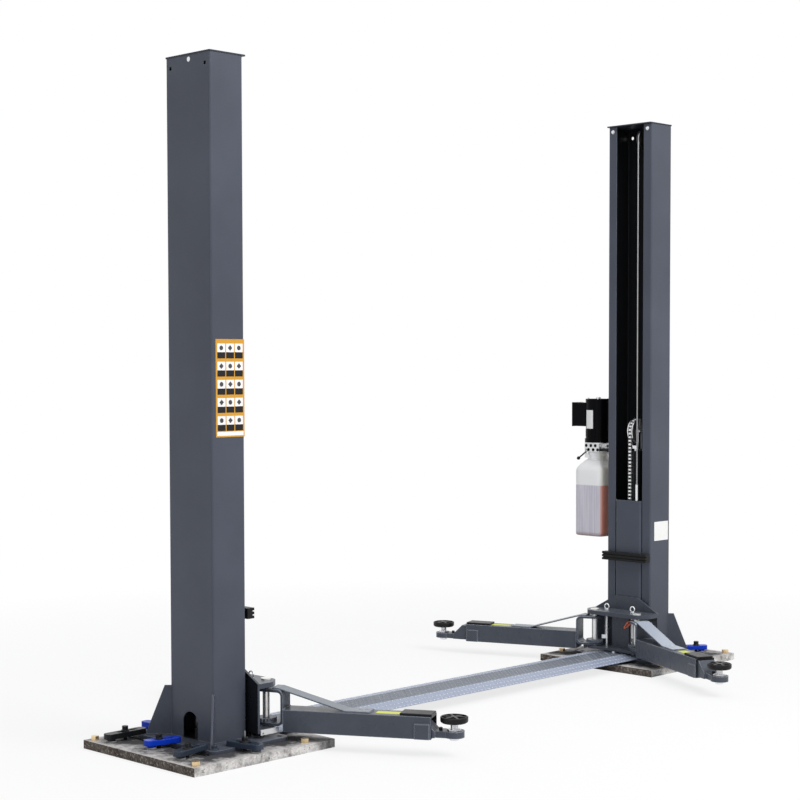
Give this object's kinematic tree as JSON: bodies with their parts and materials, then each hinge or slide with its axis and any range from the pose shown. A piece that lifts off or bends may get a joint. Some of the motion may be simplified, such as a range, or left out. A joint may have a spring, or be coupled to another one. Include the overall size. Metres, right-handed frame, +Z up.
{
  "type": "two post car lift",
  "caption": "Two post car lift with a floor cover between the posts: hydraulic carriages slide in open columns and carry swinging telescopic arms with round pads.",
  "frame": {"origin": "on the floor, midway between the posts", "axes": "+X from the left post to the right post, +Y to the far side, +Z up"},
  "size_m": [3.658, 1.9635, 2.83],
  "materials": {
    "column_paint": "satin dark slate powder coat",
    "arm_paint": "satin dark slate powder coat",
    "cover_paint": "grey blue paint on chequer plate",
    "slab_stone": "weathered grey",
    "brass_bolt": "dull brass",
    "black_paint": "satin black",
    "blue_paint": "gloss blue",
    "slate_paint": "gloss slate blue",
    "zinc_steel": "zinc plated",
    "rope_steel": "bright wire rope",
    "chain_steel": "oiled steel",
    "rod_chrome": "ground and plated",
    "rubber_black": "black rubber",
    "slide_nylon": "dark nylon",
    "tank_plastic": "milky translucent plastic",
    "pump_aluminium": "cast and milled",
    "motor_black": "black enamel"
  },
  "bodies": {
    "root": {"slabs": "slab_stone", "base_plates": "column_paint", "column_left": "column_paint", "column_right": "column_paint", "column_caps": "column_paint", "slab_bolts": "brass_bolt", "gussets": "column_paint", "floor_cover": "cover_paint", "clamps_black": "black_paint", "clamps_blue": "blue_paint", "clamps_slate": "slate_paint", "clamp_bolts": "black_paint", "cylinders": "black_paint", "chain_anchors": "black_paint", "sheaves": "zinc_steel", "sheave_hangers": "black_paint", "equalizing_rope_left": "rope_steel", "equalizing_rope_right": "rope_steel", "unit_bracket": "black_paint", "pump_block": "pump_aluminium", "motor": "motor_black", "motor_box": "motor_black", "oil_tank": "tank_plastic", "lowering_lever": "zinc_steel"},
    "carriage_left": {"carriage_left": "column_paint", "yoke_left": "arm_paint", "slide_blocks_left": "slide_nylon", "arm_pins_left": "zinc_steel", "stop_plates_left": "zinc_steel", "bumper_left": "rubber_black", "rope_terminals_left": "zinc_steel"},
    "piston_left": {"piston_rod_left": "rod_chrome", "chain_wheel_left": "chain_steel", "lift_chain_left": "chain_steel"},
    "carriage_right": {"carriage_right": "column_paint", "yoke_right": "arm_paint", "slide_blocks_right": "slide_nylon", "arm_pins_right": "zinc_steel", "stop_plates_right": "zinc_steel", "bumper_right": "rubber_black", "rope_terminals_right": "zinc_steel"},
    "piston_right": {"piston_rod_right": "rod_chrome", "chain_wheel_right": "chain_steel", "lift_chain_right": "chain_steel"},
    "arm_near_left": {"arm_near_left": "arm_paint"},
    "extension_near_left": {"extension_near_left": "arm_paint"},
    "pad_near_left": {"pad_near_left": "rubber_black"},
    "lock_near_left": {"arm_lock_near_left": "zinc_steel"},
    "arm_far_left": {"arm_far_left": "arm_paint"},
    "extension_far_left": {"extension_far_left": "arm_paint"},
    "pad_far_left": {"pad_far_left": "rubber_black"},
    "lock_far_left": {"arm_lock_far_left": "zinc_steel"},
    "arm_near_right": {"arm_near_right": "arm_paint"},
    "extension_near_right": {"extension_near_right": "arm_paint"},
    "pad_near_right": {"pad_near_right": "rubber_black"},
    "lock_near_right": {"arm_lock_near_right": "zinc_steel"},
    "arm_far_right": {"arm_far_right": "arm_paint"},
    "extension_far_right": {"extension_far_right": "arm_paint"},
    "pad_far_right": {"pad_far_right": "rubber_black"},
    "lock_far_right": {"arm_lock_far_right": "zinc_steel"}
  },
  "joints": [
    {"name": "carriage_left_lift", "type": "slide", "parent": "root", "child": "carriage_left", "axis": [0, 0, 1], "range_m": [0, 1.74]},
    {"name": "carriage_right_lift", "type": "slide", "parent": "root", "child": "carriage_right", "axis": [0, 0, 1], "range_m": [0, 1.74]},
    {"name": "piston_left_rise", "type": "slide", "parent": "root", "child": "piston_left", "axis": [0, 0, 1], "range_m": [0, 0.87]},
    {"name": "piston_right_rise", "type": "slide", "parent": "root", "child": "piston_right", "axis": [0, 0, 1], "range_m": [0, 0.87]},
    {"name": "arm_near_left_swing", "type": "hinge", "parent": "carriage_left", "child": "arm_near_left", "pos_m": [-1.27, -0.138, 0.17], "axis": [0, 0, -1], "range_deg": [-58, 35]},
    {"name": "extension_near_left_slide", "type": "slide", "parent": "arm_near_left", "child": "extension_near_left", "axis": [0.5, -0.866, 0], "range_m": [-0.012, 0.366]},
    {"name": "pad_near_left_screw", "type": "slide", "parent": "extension_near_left", "child": "pad_near_left", "axis": [0, 0, 1], "range_m": [0, 0.025]},
    {"name": "lock_near_left_pull", "type": "slide", "parent": "carriage_left", "child": "lock_near_left", "axis": [0, 0, 1], "range_m": [0, 0.012], "stiffness_N_per_m": 400, "springref_m": -0.012},
    {"name": "arm_far_left_swing", "type": "hinge", "parent": "carriage_left", "child": "arm_far_left", "pos_m": [-1.27, 0.138, 0.17], "axis": [0, 0, 1], "range_deg": [-58.5, 34.5]},
    {"name": "extension_far_left_slide", "type": "slide", "parent": "arm_far_left", "child": "extension_far_left", "axis": [0.4924, 0.8704, 0], "range_m": [-0.117, 0.261]},
    {"name": "pad_far_left_screw", "type": "slide", "parent": "extension_far_left", "child": "pad_far_left", "axis": [0, 0, 1], "range_m": [0, 0.025]},
    {"name": "lock_far_left_pull", "type": "slide", "parent": "carriage_left", "child": "lock_far_left", "axis": [0, 0, 1], "range_m": [0, 0.012], "stiffness_N_per_m": 400, "springref_m": -0.012},
    {"name": "arm_near_right_swing", "type": "hinge", "parent": "carriage_right", "child": "arm_near_right", "pos_m": [1.27, -0.138, 0.17], "axis": [0, 0, 1], "range_deg": [-62.1, 30.9]},
    {"name": "extension_near_right_slide", "type": "slide", "parent": "arm_near_right", "child": "extension_near_right", "axis": [-0.4368, -0.8996, 0], "range_m": [-0.063, 0.315]},
    {"name": "pad_near_right_screw", "type": "slide", "parent": "extension_near_right", "child": "pad_near_right", "axis": [0, 0, 1], "range_m": [0, 0.025]},
    {"name": "lock_near_right_pull", "type": "slide", "parent": "carriage_right", "child": "lock_near_right", "axis": [0, 0, 1], "range_m": [0, 0.012], "stiffness_N_per_m": 400, "springref_m": -0.012},
    {"name": "arm_far_right_swing", "type": "hinge", "parent": "carriage_right", "child": "arm_far_right", "pos_m": [1.27, 0.138, 0.17], "axis": [0, 0, -1], "range_deg": [-67, 26]},
    {"name": "extension_far_right_slide", "type": "slide", "parent": "arm_far_right", "child": "extension_far_right", "axis": [-0.3584, 0.9336, 0], "range_m": [-0.0775, 0.3005]},
    {"name": "pad_far_right_screw", "type": "slide", "parent": "extension_far_right", "child": "pad_far_right", "axis": [0, 0, 1], "range_m": [0, 0.025]},
    {"name": "lock_far_right_pull", "type": "slide", "parent": "carriage_right", "child": "lock_far_right", "axis": [0, 0, 1], "range_m": [0, 0.012], "stiffness_N_per_m": 400, "springref_m": -0.012}
  ],
  "couplings": [
    {"joint": "carriage_right_lift", "follows": "carriage_left_lift", "ratio": 1},
    {"joint": "piston_left_rise", "follows": "carriage_left_lift", "ratio": 0.5},
    {"joint": "piston_right_rise", "follows": "carriage_left_lift", "ratio": 0.5}
  ]
}
